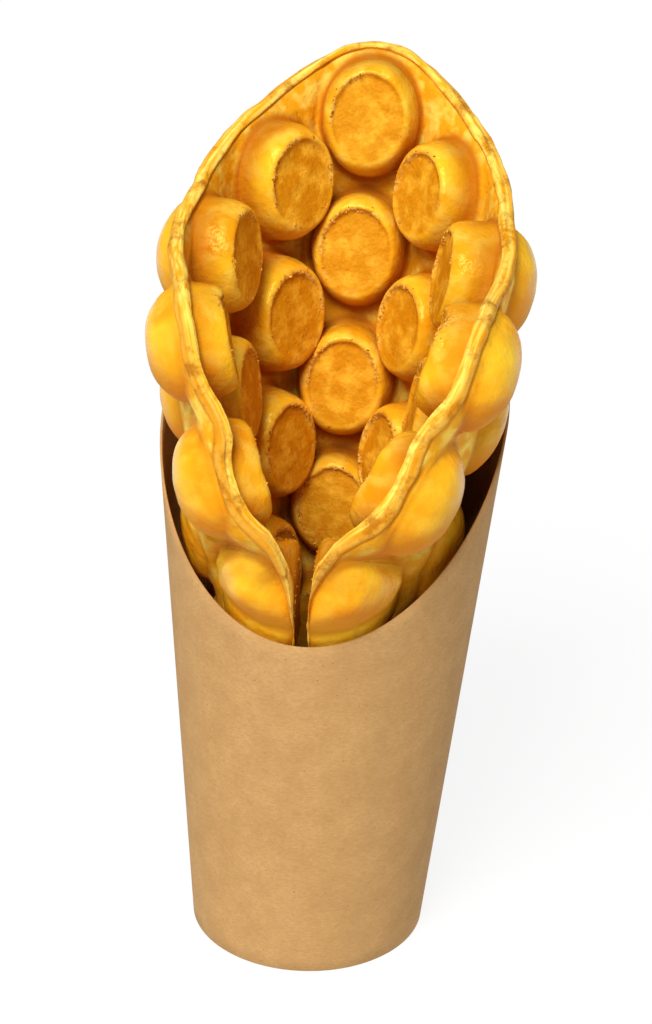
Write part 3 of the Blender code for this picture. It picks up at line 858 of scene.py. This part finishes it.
def baked_batter():
    """Egg batter baked in an iron: golden and satin on the domes, toasted and matte on the faces."""
    mat, tree, shader = new_material("baked_batter")
    place = add(tree, "ShaderNodeTexCoord").outputs["Object"]
    broad = remap(tree, spots(tree, place, 12 * MM, 2), 0.35, 0.62)  # as wide as half a bubble
    patches = remap(tree, spots(tree, place, 4.5 * MM, 3), 0.45, 0.66)
    grain = remap(tree, spots(tree, place, 0.9 * MM, 4, 0.6), 0.40, 0.66)

    # the outer and the inner side: paler patches, and painted shade that deepens the flanks and the
    # undersides
    golden = blend(tree, broad, linear("#F4A616"), linear("#FCCB2A"))
    golden = blend(tree, calculate(tree, "MULTIPLY", patches, 0.45), golden, linear("#FFDA48"))
    # painted shade: the domes' flanks, low by the web, are coloured deeper
    flank_shade = calculate(tree, "MULTIPLY", read(tree, "low_side"), 0.4)
    golden = blend(tree, flank_shade, golden, linear("#E08A08"))
    # painted shade: faces turned down are coloured deeper orange
    under = calculate(tree, "MULTIPLY", read(tree, "under"), 0.8)
    golden = blend(tree, under, golden, linear("#C26A04"))
    inside = blend(tree, broad, linear("#EC9A10"), linear("#FBBE24"))
    inside = blend(tree, calculate(tree, "MULTIPLY", patches, 0.5), inside, linear("#FFDC58"))
    # painted shade: the drums' flanks, low by the web, are coloured deeper
    flank_shade = calculate(tree, "MULTIPLY", read(tree, "low_side"), 0.5)
    inside = blend(tree, flank_shade, inside, linear("#C87608"))
    # painted shade: the drums' down-turned faces are coloured deeper orange
    under = calculate(tree, "MULTIPLY", read(tree, "under"), 0.35)
    inside = blend(tree, under, inside, linear("#C26A04"))
    colour = blend(tree, read(tree, "drum"), golden, inside)

    # the drums' faces, toasted by the iron
    streaks = blend(tree, patches, linear("#D4840A"), linear("#F6B024"))
    toasted = blend(tree, calculate(tree, "MULTIPLY", grain, 0.35), streaks, linear("#B06206"))
    toast = calculate(tree, "MULTIPLY", read(tree, "toast"), 0.8)
    colour = blend(tree, toast, colour, toasted)

    # their ragged rims: burnt and pale crumbs
    crumbed = remap(tree, spots(tree, place, 0.9 * MM, 2), 0.42, 0.60)
    ragged = blend(tree, crumbed, linear("#AE620A"), linear("#FFD26A"))
    colour = blend(tree, calculate(tree, "MULTIPLY", read(tree, "ring"), 0.6), colour, ragged)

    # the web, pale and with painted light on it, painted shade in the creases where bubbles rise from
    # it, and painted shade in the low part of the roll
    # the web: pale batter, and painted light that makes it paler still
    web = blend(tree, patches, linear("#F4AA18"), linear("#FFDE5C"))
    colour = blend(tree, calculate(tree, "MULTIPLY", read(tree, "web"), 0.85), colour, web)
    # painted shade: the creases are coloured dark brown
    crease_shade = calculate(tree, "MULTIPLY", read(tree, "crease_shade"), 0.75)
    colour = blend(tree, crease_shade, colour, linear("#A84C04"))
    # painted shade: the low part of the roll is coloured dark brown
    deep_shade = calculate(tree, "MULTIPLY", read(tree, "deep_shade"), 0.72)
    colour = blend(tree, deep_shade, colour, linear("#7E3E04"))

    # the baked lip: strands along it, deeper outside, burnt here and there, with painted shade in its
    # groove
    along = calculate(tree, "MULTIPLY", read(tree, "along"), 0.10)
    on_lip = add(tree, "ShaderNodeCombineXYZ", [(0, along), (1, read(tree, "thick"))]).outputs[0]
    strands = remap(tree, spots(tree, on_lip, 0.9 * MM, 2), 0.36, 0.64)
    rib = blend(tree, strands, linear("#F0A416"), linear("#FFE066"))
    outer = remap(tree, read(tree, "thick"), 0.2 * MM, 1.5 * MM, 0, 0.6)
    rib = blend(tree, outer, rib, linear("#C87A10"))
    burnt = remap(tree, spots(tree, place, 6 * MM, 5, 0.7), 0.50, 0.64, 0, 0.8)
    rib = blend(tree, burnt, rib, linear("#AE640A"))
    colour = blend(tree, read(tree, "lip"), colour, rib)
    # painted shade: the groove is coloured darker orange
    groove = calculate(tree, "MULTIPLY", read(tree, "lip_groove_shade"), 0.6)
    colour = blend(tree, groove, colour, linear("#CB740A"))
    tree.links.new(colour, shader.inputs["Base Color"])

    # satin where oil and iron smoothed it, dull on the faces, the flanks and the undersides
    rough = remap(tree, read(tree, "toast"), 0, 1, 0.24, 0.5)
    dull = calculate(tree, "MAXIMUM", read(tree, "low_side"), read(tree, "under"))
    rough = calculate(tree, "ADD", rough, remap(tree, dull, 0.45, 0.9, 0, 0.5))
    tree.links.new(rough, shader.inputs["Roughness"])
    shader.inputs["Specular IOR Level"].default_value = 0.42
    shader.inputs["Specular Tint"].default_value = linear("#FFD870")

    # soft dimples, and pores that are drawn coarser than the real ones so that they show
    soft = bumps(tree, spots(tree, place, 3.4 * MM, 3), 0.6 * MM)
    soft = bumps(tree, spots(tree, place, 1.5 * MM, 2), 0.12 * MM, soft)
    pores = spots(tree, place, 0.8 * MM, 3, 0.7)
    depth = remap(tree, read(tree, "toast"), 0, 1, 0.05 * MM, 0.22 * MM)
    tree.links.new(bumps(tree, pores, depth, soft), shader.inputs["Normal"])
    return mat


def dry_crumbs():
    """Batter dried to crumbs: pale and matte, a few of them burnt."""
    mat, tree, shader = new_material("dry_crumbs")
    place = add(tree, "ShaderNodeTexCoord").outputs["Object"]
    burnt = remap(tree, spots(tree, place, 1.6 * MM, 2), 0.42, 0.60)
    colour = blend(tree, burnt, linear("#F4B53A"), linear("#A85E0A"))
    tree.links.new(colour, shader.inputs["Base Color"])
    shader.inputs["Roughness"].default_value = 0.7
    shader.inputs["Specular IOR Level"].default_value = 0.2
    return mat


def kraft_board():
    """Unbleached kraft board, calendered: matte light brown with fibres and small specks.

    Real fibres and specks are finer. They are drawn as coarse as they need to show."""
    mat, tree, shader = new_material("kraft_board")
    place = add(tree, "ShaderNodeTexCoord").outputs["Object"]
    clouds = remap(tree, spots(tree, place, 8 * MM, 5, 0.65), 0.38, 0.64)
    lying = add(tree, "ShaderNodeMapping", [("Vector", place), ("Scale", (1, 1, 2.5))]).outputs[0]
    fibres = remap(tree, spots(tree, lying, 1.3 * MM, 5, 0.75), 0.36, 0.66)
    specks = remap(tree, spots(tree, place, 1.0 * MM, 2, 0.5), 0.68, 0.76, 0, 0.5)
    colour = blend(tree, clouds, linear("#BC9059"), linear("#C79B62"))
    colour = blend(tree, calculate(tree, "MULTIPLY", fibres, 0.55), colour, linear("#A37A44"))
    colour = blend(tree, specks, colour, linear("#7A562A"))
    tree.links.new(colour, shader.inputs["Base Color"])
    shader.inputs["Roughness"].default_value = 0.8
    shader.inputs["Specular IOR Level"].default_value = 0.25
    tooth = bumps(tree, spots(tree, place, 0.7 * MM, 4, 0.7), 0.05 * MM)
    tree.links.new(tooth, shader.inputs["Normal"])
    return mat


def white_paper_sweep():
    """A photographer's white paper sweep: flat matte white that hardly takes a shadow."""
    mat, _, shader = new_material("white_paper_sweep")
    shader.inputs["Base Color"].default_value = (FLOOR_GREY, FLOOR_GREY, FLOOR_GREY, 1)
    shader.inputs["Emission Color"].default_value = WHITE
    shader.inputs["Emission Strength"].default_value = FLOOR_GLOW
    shader.inputs["Roughness"].default_value = 0.9
    shader.inputs["Specular IOR Level"].default_value = 0.1
    return mat


# ---------------------------------------------------------------- stage

def sun(name, azimuth, elevation, softness, strength):
    """A soft sun; azimuth 0 shines from the front and grows towards the picture's left."""
    data = bpy.data.lights.new(name, "SUN")
    data.angle = math.radians(softness)
    data.energy = strength
    a, e = math.radians(azimuth), math.radians(elevation)
    towards = Vector((-math.sin(a) * math.cos(e), -math.cos(a) * math.cos(e), math.sin(e)))
    new_piece(name, data).rotation_euler = towards.to_track_quat("Z", "Y").to_euler()


def camera():
    data = bpy.data.cameras.new("camera")
    data.lens = CAMERA_LENS
    data.sensor_width = CAMERA_SENSOR
    foot = cup_foot_centre()
    aim = Vector((foot[0] + AIM_ACROSS, foot[1], AIM_HEIGHT))
    forward = Vector((0, math.cos(CAMERA_PITCH), -math.sin(CAMERA_PITCH)))
    turned = forward.to_track_quat("-Z", "Y").to_matrix().to_4x4()
    place = Matrix.Translation(aim - forward * CAMERA_DISTANCE)
    obj = new_piece("camera", data)
    obj.matrix_world = place @ turned @ Matrix.Rotation(-CAMERA_ROLL, 4, "Z")
    bpy.context.scene.camera = obj


def stage():
    bm = bmesh.new()
    bmesh.ops.create_grid(bm, x_segments=1, y_segments=1, size=FLOOR_SIZE)
    floor = new_piece("floor", finished_mesh("floor", bm))
    floor.data.materials.append(white_paper_sweep())
    world = bpy.data.worlds.new("studio")
    world.use_nodes = True
    background = world.node_tree.nodes["Background"]
    background.inputs["Color"].default_value = WHITE
    background.inputs["Strength"].default_value = SKY_STRENGTH
    bpy.context.scene.world = world
    sun("key", KEY_AZIMUTH, KEY_ELEVATION, KEY_SOFTNESS, KEY_STRENGTH)
    bpy.context.scene.view_settings.view_transform = "Standard"


camera()
stage()
crumbs(waffle())
cup()
